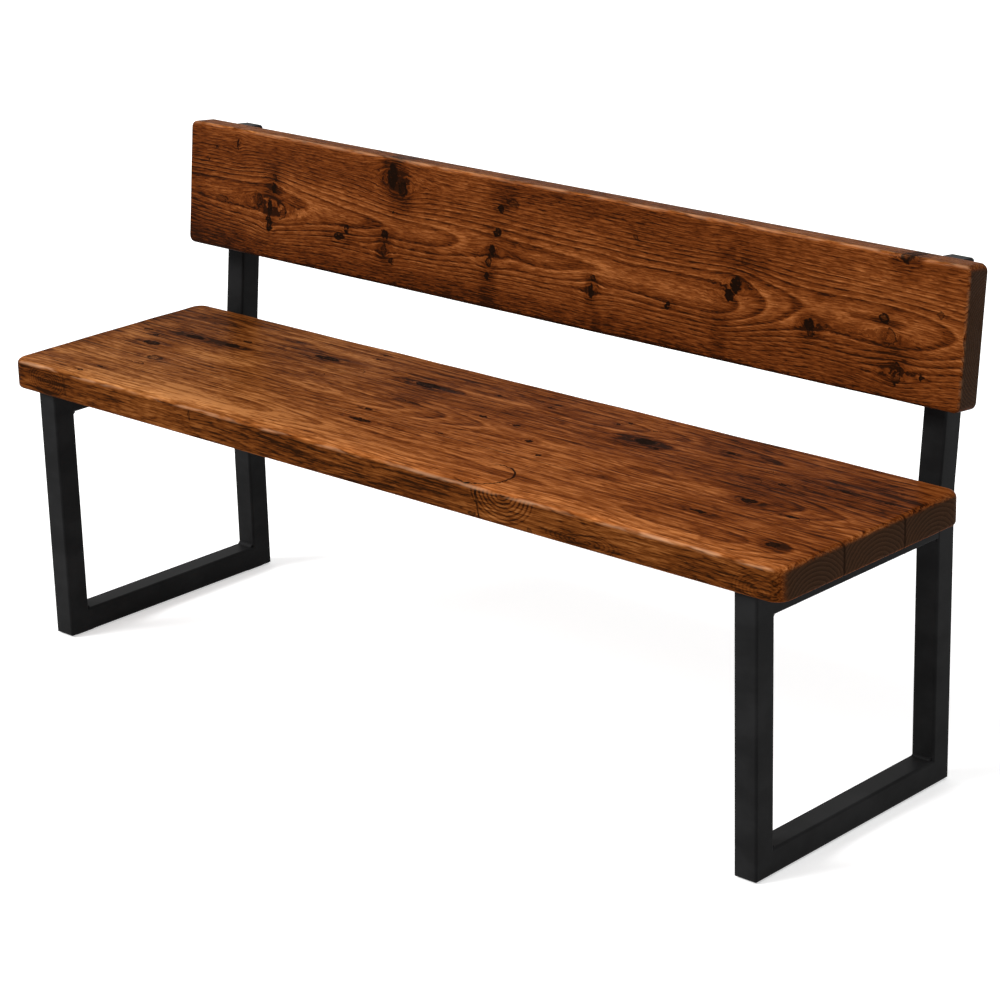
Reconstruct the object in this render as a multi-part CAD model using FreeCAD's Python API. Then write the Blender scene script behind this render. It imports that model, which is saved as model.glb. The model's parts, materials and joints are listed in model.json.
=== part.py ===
import FreeCAD, Part
import math
import os

# A bench with a backrest: thick softwood boards on two welded side frames of square steel tube.
# Millimetres. X runs along the bench, Y from front to back and Z up.
# The origin is on the floor, under the middle of the whole bench.

# Seat: boards glued edge to edge
bench_length = 1600.0
seat_depth = 420.0
seat_thickness = 50.0
seat_height = 480.0  # floor to the top of the seat
seat_board_count = 3
seat_corner_radius = 14.0  # the four corners, seen from above
seat_edge_radius = 6.0

# Loose tongues glued into grooves along the seat's joints
tongue_width = 24.0
tongue_thickness = 8.0
tongue_end_margin = 60.0  # seat end to the tongue, which stops short so that it doesn't show
groove_clearance = 0.2

# Backrest: one board as long as the seat, on the front of the posts
back_height = 210.0
back_thickness = 45.0
back_gap = 110.0  # seat top to the backrest's lower edge
back_corner_radius = 12.0
back_edge_radius = 5.0
recline_degrees = 6.0

# Edges round the seat's underside and the backrest's rear, only eased
eased_edge = 3.0

# Square tube of the side frames
tube_width = 40.0
tube_wall = 3.0
tube_outer_radius = 4.0

# Side frames
frame_end_inset = 50.0  # seat end to the frame's outer face
frame_front_setback = 12.0  # seat front to the front leg
post_gap = 14.0  # seat's rear edge to the rear leg
bend_rise = 30.0  # top rail to the bend between rear leg and post
post_top_drop = 8.0  # backrest's top edge to the end of the post
frame_corner_radius = 4.0  # mitred outer corners, dressed after welding
weld_leg = 5.0
weld_bulge = 0.6

# Plastic caps in the post ends
cap_thickness = 4.5
cap_bevel_share = 0.7  # of the tube's corner radius
cap_stem_length = 14.0
cap_stem_wall = 2.0
cap_stem_clearance = 1.0
cap_rib_clearance = 0.2
cap_rib_height = 1.2
cap_rib_count = 3

# Rubber feet under the bottom rails
foot_thickness = 2.0
foot_length = 36.0
foot_side_margin = 2.0  # flat of the tube left on each side of a foot
foot_end_margin = 16.0  # frame end to the foot

# Coach screws with a washer forged under the head
screw_diameter = 8.0
hex_sides = 6
screw_hex_width = 13.0  # across flats
screw_head_height = 5.3
screw_end_cover = 15.0  # wood left in front of a screw's end
steel_hole_clearance = 0.5
wood_hole_clearance = 0.2
screw_washer_diameter = 17.0
screw_washer_thickness = 1.6
back_screw_shares = (0.25, 0.75)  # up the backrest's height

# Cuts run past the faces by this much
overrun = 5.0

# Places worked out from the sizes above
half_tube = tube_width / 2
tube_bore = tube_width - 2 * tube_wall
tube_flat = tube_width - 2 * tube_outer_radius
seat_board_width = seat_depth / seat_board_count
frame_top = seat_height - seat_thickness
top_rail_underside = frame_top - tube_width
bottom_rail_top = foot_thickness + tube_width
front_leg_back = frame_front_setback + tube_width
rear_leg_front = seat_depth + post_gap
frame_rear = rear_leg_front + tube_width
frame_centre_x = bench_length / 2 - frame_end_inset - half_tube
front_leg_centre = frame_front_setback + half_tube
rear_leg_centre = rear_leg_front + half_tube
bend_height = frame_top + bend_rise
mitre_reach = 3 * tube_width

# Directions: along the bench, up the reclined post, and out of the backrest's front
recline = math.radians(recline_degrees)
along_bench = FreeCAD.Vector(1, 0, 0)
up_post = FreeCAD.Vector(0, math.sin(recline), math.cos(recline))
out_of_back = FreeCAD.Vector(0, -math.cos(recline), math.sin(recline))
upright = 0.0
level = 90.0
half_turn = 180.0
mitre = 45.0

# The backrest's span up the post, measured along the post from the bend's centre
back_start = (seat_height + back_gap - bend_height - half_tube * math.sin(recline)) / math.cos(recline)
post_length = back_start + back_height - post_top_drop

# Coach screws pass through a tube and end inside the board
seat_screw_length = tube_width + seat_thickness - screw_end_cover
back_screw_length = tube_width + back_thickness - screw_end_cover

sides = {"left": -1, "right": 1}


def lean(point, degrees):
    """Placement at a point, with Z leaning back from upright by so many degrees."""
    return FreeCAD.Placement(point, FreeCAD.Rotation(along_bench, -degrees))


def placed(shape, placement):
    """A copy of a shape that was made at the origin, put in its place."""
    copy = shape.copy()
    copy.Placement = placement
    return copy


def square_bar(width, length):
    """Square bar on the Z axis, from zero up to its length."""
    return Part.makeBox(width, width, length, FreeCAD.Vector(-width / 2, -width / 2, 0))


def rounded_bar(width, radius, length):
    """Square bar on the Z axis with rounded long edges."""
    bar = square_bar(width, length)
    long_edges = [edge for edge in bar.Edges if edge.BoundBox.ZLength > length / 2]
    return bar.makeFillet(radius, long_edges)


def rounded_board(length, width, thickness, corner_radius, edge_radius):
    """Board lying flat, centred along X, rounded at its corners and upper edges and eased below."""
    board = Part.makeBox(length, width, thickness, FreeCAD.Vector(-length / 2, 0, 0))
    corners = [edge for edge in board.Edges if edge.BoundBox.ZLength > thickness / 2]
    board = board.makeFillet(corner_radius, corners)
    upper_rim = [edge for edge in board.Edges if edge.BoundBox.ZMin > thickness / 2]
    board = board.makeFillet(edge_radius, upper_rim)
    lower_rim = [edge for edge in board.Edges if edge.BoundBox.ZMax < eased_edge]
    return board.makeChamfer(eased_edge, lower_rim)


def tube(start, degrees, length):
    """Hollow square tube whose centre line leaves start, leaning back by so many degrees."""
    shell = rounded_bar(tube_width, tube_outer_radius, length)
    shell = shell.cut(square_bar(tube_bore, length))
    return placed(shell, lean(start, degrees))


def past_plane(point, degrees):
    """Block past a plane through a point. The plane's normal leans back by so many degrees."""
    corner = FreeCAD.Vector(-mitre_reach / 2, -mitre_reach / 2, 0)
    block = Part.makeBox(mitre_reach, mitre_reach, mitre_reach, corner)
    return placed(block, lean(point, degrees))


def corner_waste(side, y, z, inward_y, inward_z):
    """What dressing takes off a square outer corner of a frame to round it."""
    left = side * frame_centre_x - half_tube - overrun
    width = tube_width + 2 * overrun
    low_y = min(y, y + inward_y * frame_corner_radius)
    low_z = min(z, z + inward_z * frame_corner_radius)
    block_start = FreeCAD.Vector(left, low_y, low_z)
    block = Part.makeBox(width, frame_corner_radius, frame_corner_radius, block_start)
    centre_y = y + inward_y * frame_corner_radius
    centre_z = z + inward_z * frame_corner_radius
    axis_start = FreeCAD.Vector(left, centre_y, centre_z)
    return block.cut(Part.makeCylinder(frame_corner_radius, width, axis_start, along_bench))


def coach_screw(shank_length):
    """Hex-head wood screw along Z, with its washer. Z zero is the steel face under the washer."""
    head_end = -screw_washer_thickness - screw_head_height
    corner_radius = screw_hex_width / math.sqrt(3)
    corners = []
    for corner in range(hex_sides + 1):
        angle = math.tau * corner / hex_sides
        x = corner_radius * math.cos(angle)
        y = corner_radius * math.sin(angle)
        corners.append(FreeCAD.Vector(x, y, head_end))
    head = Part.Face(Part.makePolygon(corners)).extrude(FreeCAD.Vector(0, 0, screw_head_height))
    washer_base = FreeCAD.Vector(0, 0, -screw_washer_thickness)
    washer = Part.makeCylinder(screw_washer_diameter / 2, screw_washer_thickness, washer_base)
    shank = Part.makeCylinder(screw_diameter / 2, shank_length)
    return head.fuse([washer, shank]).removeSplitter()


def steel_hole():
    """Clearance hole for a coach screw through both walls of a tube."""
    radius = screw_diameter / 2 + steel_hole_clearance
    return Part.makeCylinder(radius, tube_width + 2 * overrun, FreeCAD.Vector(0, 0, -overrun))


def wood_hole(shank_length):
    """Hole that a coach screw fills in a board."""
    radius = screw_diameter / 2 + wood_hole_clearance
    return Part.makeCylinder(radius, shank_length + wood_hole_clearance)


def seat_screw_places(side):
    """Under a top rail, spread evenly between the legs, one for each outer seat board."""
    spacing = (rear_leg_front - front_leg_back) / seat_board_count
    places = []
    for board in (0, seat_board_count - 1):
        y = front_leg_back + spacing * (board + 1 / 2)
        places.append(lean(FreeCAD.Vector(side * frame_centre_x, y, top_rail_underside), upright))
    return places


def back_screw_places(side):
    """Behind a post, pointing forward into the backrest."""
    behind_bend = bend_centre(side) - out_of_back * half_tube
    heights = [back_start + back_height * share for share in back_screw_shares]
    return [lean(behind_bend + up_post * height, recline_degrees - level) for height in heights]


def bend_centre(side):
    """Where the centre lines of a rear leg and its post meet."""
    return FreeCAD.Vector(side * frame_centre_x, rear_leg_centre, bend_height)


def drilled(shape, hole, places):
    """A shape with the same hole at each place."""
    return shape.cut([placed(hole, place) for place in places])


def seat_tongue(joint, clearance):
    """Strip centred on a glue line of the seat, or its groove where there is a clearance."""
    length = bench_length - 2 * tongue_end_margin + 2 * clearance
    width = tongue_width + 2 * clearance
    thickness = tongue_thickness + 2 * clearance
    middle = FreeCAD.Vector(0, joint * seat_board_width, frame_top + seat_thickness / 2)
    corner = middle - FreeCAD.Vector(length / 2, width / 2, thickness / 2)
    return Part.makeBox(length, width, thickness, corner)


def seat_boards():
    """The seat, rounded as one slab, grooved for tongues, drilled for screws and parted at its glue lines."""
    slab = rounded_board(bench_length, seat_depth, seat_thickness, seat_corner_radius, seat_edge_radius)
    slab = placed(slab, lean(FreeCAD.Vector(0, 0, frame_top), upright))
    slab = slab.cut([seat_tongue(joint, groove_clearance) for joint in range(1, seat_board_count)])
    for side in sides.values():
        slab = drilled(slab, wood_hole(seat_screw_length), seat_screw_places(side))
    boards = []
    for board in range(seat_board_count):
        start = FreeCAD.Vector(-bench_length / 2 - overrun, board * seat_board_width, frame_top - overrun)
        length = bench_length + 2 * overrun
        thickness = seat_thickness + 2 * overrun
        boards.append(slab.common(Part.makeBox(length, seat_board_width, thickness, start)))
    return boards


def backrest_board():
    """The backrest, stood on edge against the front of the posts."""
    board = rounded_board(bench_length, back_height, back_thickness, back_corner_radius, back_edge_radius)
    lower_rear_edge = FreeCAD.Vector(0, rear_leg_centre, bend_height) + out_of_back * half_tube
    lower_rear_edge = lower_rear_edge + up_post * back_start
    board = placed(board, lean(lower_rear_edge, recline_degrees - level))
    for side in sides.values():
        board = drilled(board, wood_hole(back_screw_length), back_screw_places(side))
    return board


def front_leg(side):
    """Upright tube, mitred at both ends."""
    x = side * frame_centre_x
    leg = tube(FreeCAD.Vector(x, front_leg_centre, foot_thickness), upright, frame_top - foot_thickness)
    lower_corner = FreeCAD.Vector(x, front_leg_centre, foot_thickness + half_tube)
    upper_corner = FreeCAD.Vector(x, front_leg_centre, frame_top - half_tube)
    leg = leg.cut(past_plane(lower_corner, half_turn - mitre))
    leg = leg.cut(past_plane(upper_corner, mitre))
    leg = leg.cut(corner_waste(side, frame_front_setback, foot_thickness, 1, 1))
    return leg.cut(corner_waste(side, frame_front_setback, frame_top, 1, -1))


def bottom_rail(side):
    """Level tube on the feet, mitred at both ends."""
    x = side * frame_centre_x
    height = foot_thickness + half_tube
    rail = tube(FreeCAD.Vector(x, frame_front_setback, height), level, frame_rear - frame_front_setback)
    rail = rail.cut(past_plane(FreeCAD.Vector(x, front_leg_centre, height), -mitre))
    rail = rail.cut(past_plane(FreeCAD.Vector(x, rear_leg_centre, height), mitre))
    rail = rail.cut(corner_waste(side, frame_front_setback, foot_thickness, 1, 1))
    return rail.cut(corner_waste(side, frame_rear, foot_thickness, -1, 1))


def rear_leg(side):
    """Upright tube, mitred to the bottom rail and, at half the recline, to the post."""
    x = side * frame_centre_x
    start = FreeCAD.Vector(x, rear_leg_centre, foot_thickness)
    leg = tube(start, upright, bend_height + half_tube - foot_thickness)
    lower_corner = FreeCAD.Vector(x, rear_leg_centre, foot_thickness + half_tube)
    leg = leg.cut(past_plane(lower_corner, mitre - half_turn))
    leg = leg.cut(past_plane(bend_centre(side), recline_degrees / 2))
    return leg.cut(corner_waste(side, frame_rear, foot_thickness, -1, 1))


def top_rail(side):
    """Level tube under the seat, mitred to the front leg, butted on the rear leg and drilled for screws."""
    x = side * frame_centre_x
    height = frame_top - half_tube
    rail = tube(FreeCAD.Vector(x, frame_front_setback, height), level, rear_leg_front - frame_front_setback)
    rail = rail.cut(past_plane(FreeCAD.Vector(x, front_leg_centre, height), mitre - half_turn))
    rail = rail.cut(corner_waste(side, frame_front_setback, frame_top, 1, -1))
    return drilled(rail, steel_hole(), seat_screw_places(side))


def back_post(side):
    """Reclined tube that carries on from the rear leg, drilled for the backrest screws."""
    start = bend_centre(side) - up_post * half_tube
    post = tube(start, recline_degrees, half_tube + post_length)
    post = post.cut(past_plane(bend_centre(side), recline_degrees / 2 - half_turn))
    return drilled(post, steel_hole(), back_screw_places(side))


def weld_bead(side, y, z, out_y, out_z):
    """Fillet weld across a tube, in an inside corner, with a slightly full face."""
    x = side * frame_centre_x - tube_flat / 2
    rise = weld_leg / 2 + weld_bulge
    corner = FreeCAD.Vector(x, y, z)
    on_rail = FreeCAD.Vector(x, y + out_y * weld_leg, z)
    on_leg = FreeCAD.Vector(x, y, z + out_z * weld_leg)
    crown = FreeCAD.Vector(x, y + out_y * rise, z + out_z * rise)
    face_arc = Part.Arc(on_rail, crown, on_leg).toShape()
    outline = Part.Wire([Part.makeLine(corner, on_rail), face_arc, Part.makeLine(on_leg, corner)])
    return Part.Face(outline).extrude(along_bench * tube_flat)


def frame_welds(side):
    """The inside corners of a frame, and the top of the rail where it meets the rear leg."""
    return Part.makeCompound([
        weld_bead(side, front_leg_back, bottom_rail_top, 1, 1),
        weld_bead(side, rear_leg_front, bottom_rail_top, -1, 1),
        weld_bead(side, front_leg_back, top_rail_underside, 1, -1),
        weld_bead(side, rear_leg_front, top_rail_underside, -1, -1),
        weld_bead(side, rear_leg_front, frame_top, -1, 1),
    ])


def post_cap(side):
    """Plastic cap: a bevelled plate over the tube's end, and a ribbed hollow stem inside it."""
    plate = rounded_bar(tube_width, tube_outer_radius, cap_thickness)
    upper_rim = [edge for edge in plate.Edges if edge.BoundBox.ZMin > cap_thickness / 2]
    cap = plate.makeChamfer(tube_outer_radius * cap_bevel_share, upper_rim)
    stem_width = tube_bore - 2 * cap_stem_clearance
    stem = square_bar(stem_width, cap_stem_length)
    rib = square_bar(tube_bore - 2 * cap_rib_clearance, cap_rib_height)
    rib_pitch = cap_stem_length / (cap_rib_count + 1)
    for count in range(cap_rib_count):
        height = rib_pitch * (count + 1) - cap_rib_height / 2
        stem = stem.fuse(placed(rib, lean(FreeCAD.Vector(0, 0, height), upright)))
    stem = stem.cut(square_bar(stem_width - 2 * cap_stem_wall, cap_stem_length))
    cap = cap.fuse(placed(stem, lean(FreeCAD.Vector(0, 0, -cap_stem_length), upright))).removeSplitter()
    return placed(cap, lean(bend_centre(side) + up_post * post_length, recline_degrees))


def foot(side, start):
    """Rubber pad stuck under a bottom rail, from start towards the rear."""
    width = tube_flat - 2 * foot_side_margin
    corner = FreeCAD.Vector(side * frame_centre_x - width / 2, start, 0)
    return Part.makeBox(width, foot_length, foot_thickness, corner)


def group(shape, places):
    """The same piece at each place, in one node."""
    return Part.makeCompound([placed(shape, place) for place in places])


def side_frame(name, side):
    """Every piece of one side frame with its fasteners, by node name."""
    return {
        f"{name}_front_leg": front_leg(side),
        f"{name}_bottom_rail": bottom_rail(side),
        f"{name}_rear_leg": rear_leg(side),
        f"{name}_top_rail": top_rail(side),
        f"{name}_back_post": back_post(side),
        f"{name}_frame_welds": frame_welds(side),
        f"{name}_post_cap": post_cap(side),
        f"front_{name}_foot": foot(side, frame_front_setback + foot_end_margin),
        f"rear_{name}_foot": foot(side, frame_rear - foot_end_margin - foot_length),
        f"{name}_seat_screws": group(coach_screw(seat_screw_length), seat_screw_places(side)),
        f"{name}_back_screws": group(coach_screw(back_screw_length), back_screw_places(side)),
    }


def bench():
    """Every piece of the bench by node name, with the seat's front edge at Y zero."""
    pieces = {}
    boards = seat_boards()
    pieces["seat_board_front"] = boards[0]
    pieces["seat_board_rear"] = boards[-1]
    for number, board in enumerate(boards[1:-1], start=1):
        name = "seat_board_middle" if number == 1 else f"seat_board_middle_{number}"
        pieces[name] = board
    for joint in range(1, seat_board_count):
        pieces[f"seat_tongue_{joint}"] = seat_tongue(joint, 0)
    pieces["backrest_board"] = backrest_board()
    for name, side in sides.items():
        pieces.update(side_frame(name, side))
    return pieces


def write_parts(pieces):
    """Centres the bench from front to back and writes one file for each piece."""
    whole = Part.makeCompound(list(pieces.values())).optimalBoundingBox(False)
    to_centre = FreeCAD.Vector(0, -(whole.YMin + whole.YMax) / 2, 0)
    os.makedirs("parts", exist_ok=True)
    for name, shape in pieces.items():
        shape.translate(to_centre)
        shape.exportStep(os.path.join("parts", f"{name}.step"))
    print("depth of the whole bench", round(whole.YLength, 3), "height", round(whole.ZMax, 3))
    print("seat front at y", round(to_centre.y, 3))


write_parts(bench())
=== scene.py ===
import json
import math

import bmesh
import bpy
from mathutils import Matrix, Vector, noise


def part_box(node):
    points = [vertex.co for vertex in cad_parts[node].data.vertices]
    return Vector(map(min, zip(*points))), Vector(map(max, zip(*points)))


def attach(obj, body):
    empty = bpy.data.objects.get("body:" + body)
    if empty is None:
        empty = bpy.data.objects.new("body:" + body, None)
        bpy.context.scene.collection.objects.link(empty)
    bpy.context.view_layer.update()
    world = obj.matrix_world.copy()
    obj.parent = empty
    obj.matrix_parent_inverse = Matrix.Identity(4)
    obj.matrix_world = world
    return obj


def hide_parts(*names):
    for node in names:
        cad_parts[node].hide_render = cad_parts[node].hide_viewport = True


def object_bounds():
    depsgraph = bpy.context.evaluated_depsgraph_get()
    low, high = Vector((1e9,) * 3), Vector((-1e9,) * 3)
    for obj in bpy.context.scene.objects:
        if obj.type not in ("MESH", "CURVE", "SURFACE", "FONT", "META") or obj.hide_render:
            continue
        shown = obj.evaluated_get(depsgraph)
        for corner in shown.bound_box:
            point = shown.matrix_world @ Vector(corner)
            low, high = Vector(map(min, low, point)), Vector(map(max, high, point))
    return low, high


# A rustic bench: knotty stained pine boards on black steel frames, on a white studio floor.
# Lengths are in metres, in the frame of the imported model. Wood marks and grain are in millimetres.
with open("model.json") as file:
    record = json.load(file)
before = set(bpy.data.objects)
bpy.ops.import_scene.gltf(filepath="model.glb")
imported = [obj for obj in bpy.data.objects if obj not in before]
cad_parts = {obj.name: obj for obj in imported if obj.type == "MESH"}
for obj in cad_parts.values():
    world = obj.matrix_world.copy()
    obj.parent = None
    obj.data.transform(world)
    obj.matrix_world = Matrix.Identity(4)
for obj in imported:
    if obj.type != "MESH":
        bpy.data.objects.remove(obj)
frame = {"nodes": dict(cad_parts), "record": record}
cad_low, cad_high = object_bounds()
nodes = frame["nodes"]
scene = bpy.context.scene
MM = 0.001
PER_METRE = 1000.0
QUARTER_TURN = math.radians(90)

# Camera, measured from the middle of the seat's front edge on the floor
CAMERA_RIGHT = 3.145
CAMERA_AHEAD = 3.051
CAMERA_HEIGHT = 1.931
CAMERA_TURN_DEGREES = 43.04
CAMERA_DIP_DEGREES = 19.29
CAMERA_ROLL_DEGREES = 1.52
CAMERA_LENS_MM = 111.7
CAMERA_SENSOR_MM = 36.0

# Light: two broad lamps, and white surroundings that are darker above the horizon
KEY_DIRECTION = (-0.45, -0.65, 0.62)
KEY_STRENGTH = 2.9
KEY_SPREAD_DEGREES = 24.0
TOP_DIRECTION = (0.05, 0.10, 1.0)
TOP_STRENGTH = 1.7
TOP_SPREAD_DEGREES = 100.0
HORIZON_STRENGTH = 0.95
ABOVE_STRENGTH = 0.20
HORIZON_SHARES = (0.02, 0.16)
WHITE = (1.0, 1.0, 1.0)
FLOOR_COLOUR = (0.8, 0.8, 0.8)
FLOOR_GLOW = 0.50
FLOOR_ROUGHNESS = 0.9
FLOOR_REACH = 40.0

# Boards: the backrest's lean, corners in plan, and rounded edges
RECLINE_DEGREES = 6.0
SEAT_CORNER = 24 * MM
SEAT_EDGE = 9 * MM
SEAT_UNDER_EDGE = 6 * MM
BACK_CORNER = 12 * MM
BACK_EDGE = 5 * MM
BACK_REAR_EDGE = 4 * MM
SEAT_BOARDS = ("seat_board_front", "seat_board_middle", "seat_board_rear")
GLUE_LINE = 0.04 * MM

# Rounded edges are unevenly worn: their radius swells and shrinks along the board
WEAR_SHARE = 0.30
WEAR_LENGTH = 90 * MM
OUTLINE_STEP = 12 * MM
CORNER_STEPS = 8
UPPER_STEPS = 7
LOWER_STEPS = 5
SEAT_SEED = 2.5
BACK_SEED = 8.1
SEED_STEP = 5.3

# Knots on the backrest's front: along from the middle, up from the lower edge,
# half length along the grain, half height across it, then how dark the core and the rim are
BACKREST_KNOTS = (
    (-675, 184, 3, 10, 0.8, 0.0), (-727, 172, 3, 3, 0.7, 0.0), (-747, 150, 3, 3, 0.7, 0.0),
    (-713, 86, 15, 6, 0.35, 0.5), (-583, 140, 4, 5, 0.6, 0.0), (-585, 122, 6, 9, 0.9, 0.0),
    (-624, 98, 11, 11, 0.35, 0.6), (-595, 88, 6, 15, 0.85, 0.0), (-571, 86, 15, 13, 0.2, 0.7),
    (-596, 60, 7, 14, 0.85, 0.3), (-428, 64, 12, 7, 0.95, 0.0), (-411, 79, 6, 8, 0.8, 0.0),
    (-310, 180, 11, 20, 1.0, 0.3), (-287, 163, 9, 14, 0.6, 0.5), (-306, 122, 3, 3, 0.8, 0.3),
    (-324, 84, 8, 8, 0.9, 0.0), (-325, 58, 6, 13, 0.5, 0.0), (-308, 43, 7, 5, 0.7, 0.3),
    (-71, 162, 6, 6, 0.9, 0.0), (-48, 175, 14, 6, 0.45, 0.0), (-77, 124, 9, 8, 0.9, 0.4),
    (-86, 94, 6, 9, 0.9, 0.0), (-93, 76, 6, 10, 0.6, 0.4), (-97, 53, 5, 6, 0.85, 0.0),
    (121, 64, 5, 12, 0.9, 0.0), (124, 84, 5, 6, 0.6, 0.0), (204, 160, 5, 4, 0.5, 0.0),
    (273, 67, 7, 6, 0.95, 0.0), (400, 119, 10, 13, 1.0, 0.3), (389, 101, 8, 9, 0.95, 0.3),
    (415, 155, 8, 6, 0.35, 0.3), (538, 83, 9, 9, 0.8, 0.0), (541, 71, 7, 6, 0.5, 0.8),
    (667, 115, 8, 7, 0.6, 0.6), (675, 89, 14, 12, 0.25, 0.5), (689, 72, 9, 6, 0.3, 0.0),
    (693, 40, 9, 15, 0.4, 0.9), (739, 40, 5, 5, 0.85, 0.4), (762, 135, 6, 5, 0.4, 0.6),
    (697, 209, 10, 10, 0.6, 0.5),
)

# Patches on the backrest, stains and a painted shade line along the rounded lower edge: place, half sizes
# and depth of tone, pale ones below zero
BACKREST_SHADES = (
    (-305, 190, 34, 40, 0.25), (-290, 145, 30, 34, 0.2), (-590, 130, 26, 50, 0.16),
    (-70, 185, 36, 34, 0.25), (-92, 50, 20, 60, 0.2), (122, 62, 20, 36, 0.18), (374, 40, 16, 50, 0.2),
    (690, 80, 36, 60, 0.16), (700, 195, 28, 30, 0.2), (-324, 60, 22, 34, 0.2), (540, 78, 26, 26, 0.2),
    # The long thin row (0, -2, 1500, 9) is painted shade under the rounded lower edge
    (136, 14, 10, 22, 0.2), (0, -2, 1500, 9, 0.35), (-400, 8, 900, 26, 0.22), (-760, 20, 120, 60, 0.25),
    (415, 158, 60, 26, 0.15), (40, 190, 120, 30, 0.12), (-200, 110, 110, 22, -0.16),
    (-440, 120, 140, 30, -0.12), (430, 100, 90, 28, -0.12), (700, 140, 120, 60, -0.1),
    (600, 20, 270, 40, 0.15), (260, 172, 150, 36, 0.12), (190, 200, 220, 24, 0.1),
    (-800, 105, 50, 200, 0.15), (95, 98, 120, 26, -0.12), (-480, 170, 300, 26, 0.08),
)

# Knots on the seat's top: along from the middle and back from the front edge
SEAT_KNOTS = (
    (-740, 254, 11, 5, 0.5, 0.0), (-705, 239, 7, 5, 0.8, 0.0), (-640, 270, 20, 8, 0.8, 0.0),
    (-553, 274, 16, 8, 0.9, 0.0), (-548, 305, 11, 4, 0.7, 0.0), (-674, 203, 19, 9, 0.7, 0.0),
    (-604, 148, 18, 10, 0.5, 0.2), (-612, 112, 18, 6, 0.2, 0.6), (-637, 58, 6, 3, 0.8, 0.0),
    (-650, 27, 6, 4, 0.8, 0.0), (-375, 320, 28, 7, 0.8, 0.0), (-303, 367, 6, 3, 0.8, 0.0),
    (-309, 390, 6, 3, 0.7, 0.0), (-324, 251, 11, 7, 0.2, 0.6), (-139, 313, 26, 9, 0.8, 0.0),
    (-125, 231, 14, 6, 0.3, 0.5), (-127, 167, 8, 4, 0.8, 0.0), (-100, 121, 22, 6, 0.8, 0.0),
    (45, 147, 5, 3, 0.8, 0.0), (39, 249, 8, 4, 0.8, 0.0), (-11, 342, 5, 3, 0.6, 0.0),
    (109, 247, 8, 4, 0.8, 0.0), (175, 203, 8, 5, 0.9, 0.0), (231, 161, 6, 4, 0.8, 0.0),
    (89, 346, 5, 3, 0.6, 0.0), (314, 308, 18, 10, 1.0, 0.0), (347, 293, 5, 3, 0.7, 0.0),
    (228, 347, 4, 3, 0.7, 0.0), (240, 362, 4, 3, 0.7, 0.0), (294, 355, 5, 3, 0.8, 0.0),
    (448, 344, 8, 4, 0.8, 0.0), (599, 195, 14, 7, 0.9, 0.0), (570, 117, 15, 4, 0.9, 0.0),
    (357, 144, 15, 6, 0.1, 0.3), (543, 314, 6, 4, 0.3, 0.7), (593, 278, 7, 4, 0.6, 0.6),
    (688, 178, 11, 4, 0.9, 0.6), (734, 74, 11, 8, 0.6, 0.8), (684, 309, 13, 3, 0.8, 0.0),
    (762, 306, 10, 3, 0.7, 0.0), (755, 349, 7, 3, 0.4, 0.0),
)

# Cracks in the seat's top, each the right-hand half of an oval: place, half sizes and depth
SEAT_CRACKS = (
    (225, 50, 46, 44, 1.0), (540, 260, 26, 20, 0.5), (-330, 300, 60, 14, 0.5), (690, 178, 26, 12, 0.6),
)

# Patches on the seat: stains, painted shade at the rear by the backrest and on the rounded left end, and
# painted shade and reflection below the left post
# Pale patches along the front are partly wear, partly painted light
SEAT_SHADES = (
    (-640, 265, 110, 30, 0.2), (-670, 195, 70, 30, 0.2), (-400, 325, 110, 30, 0.2),
    (-139, 313, 70, 26, 0.25), (-120, 240, 60, 30, 0.2), (314, 306, 60, 28, 0.3),
    (600, 200, 60, 30, 0.15), (450, 345, 90, 30, 0.15), (690, 310, 90, 40, 0.1),
    (570, 120, 80, 30, 0.15), (734, 74, 40, 24, 0.2), (360, 140, 60, 16, 0.2), (600, 330, 270, 120, 0.1),
    (-700, 350, 140, 90, 0.12), (-480, 36, 200, 36, -0.3), (-60, 36, 330, 34, -0.3),
    (-600, 170, 260, 110, -0.09), (-560, 370, 220, 50, 0.12), (-300, 60, 220, 60, -0.2),
    (60, 330, 160, 30, -0.1), (480, 40, 260, 40, -0.08), (-800, 220, 40, 320, 0.2),
    (290, 80, 130, 90, -0.18), (570, 250, 240, 40, 0.2), (480, 375, 120, 40, 0.14),
    (690, 30, 130, 40, 0.15),
)

# Knots and cracks cut through on the seat's front face: along, and up from the underside
FRONT_FACE_KNOTS = (
    (-664, 26, 3, 20, 0.5, 0.0), (-361, 35, 3, 8, 0.7, 0.0), (253, 26, 2, 26, 0.95, 0.0),
    (240, 7, 8, 3, 0.8, 0.0), (352, 6, 5, 5, 0.6, 0.0), (620, 20, 30, 8, 0.0, 0.4),
    (-120, 22, 40, 8, 0.0, 0.3),
)

# Growth rings cut across on the front face, as ovals inside one another: middle, half sizes and depth
FRONT_FACE_FIGURES = (
    (298, 50, 62, 46, 0.38), (-712, 26, 46, 30, 0.15), (450, 12, 70, 18, 0.15), (765, 12, 50, 34, 0.12),
)

# Colours of the stain, from the deepest hollow to the most worn ridge, as linear light
STAIN_SHARES = (0.0, 0.22, 0.50, 0.78, 1.0)
STAIN_COLOURS = (
    (0.0190, 0.0052, 0.0015), (0.0740, 0.0160, 0.0025), (0.1340, 0.0330, 0.0058), (0.2150, 0.0620, 0.0140),
    (0.3250, 0.1080, 0.0290),
)
PALE_TINT = (1.0, 1.22, 1.35)
PORE_BROWN = (0.0220, 0.0066, 0.0020)
KNOT_BLACK = (0.0080, 0.0032, 0.0014)
# Tint of the golden edges: partly wear, partly painted highlight
WORN_AND_HIGHLIGHT_TINT = (2.3, 2.6, 3.0)
# Colour of the painted highlight on the arris and the end edges
PAINTED_HIGHLIGHT_COLOUR = (0.6200, 0.3400, 0.1900)
# End grain colours: darker partly from stain, partly as painted shade
END_GREY = (0.0180, 0.0105, 0.0066)
END_BROWN = (0.0500, 0.0260, 0.0140)
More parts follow.
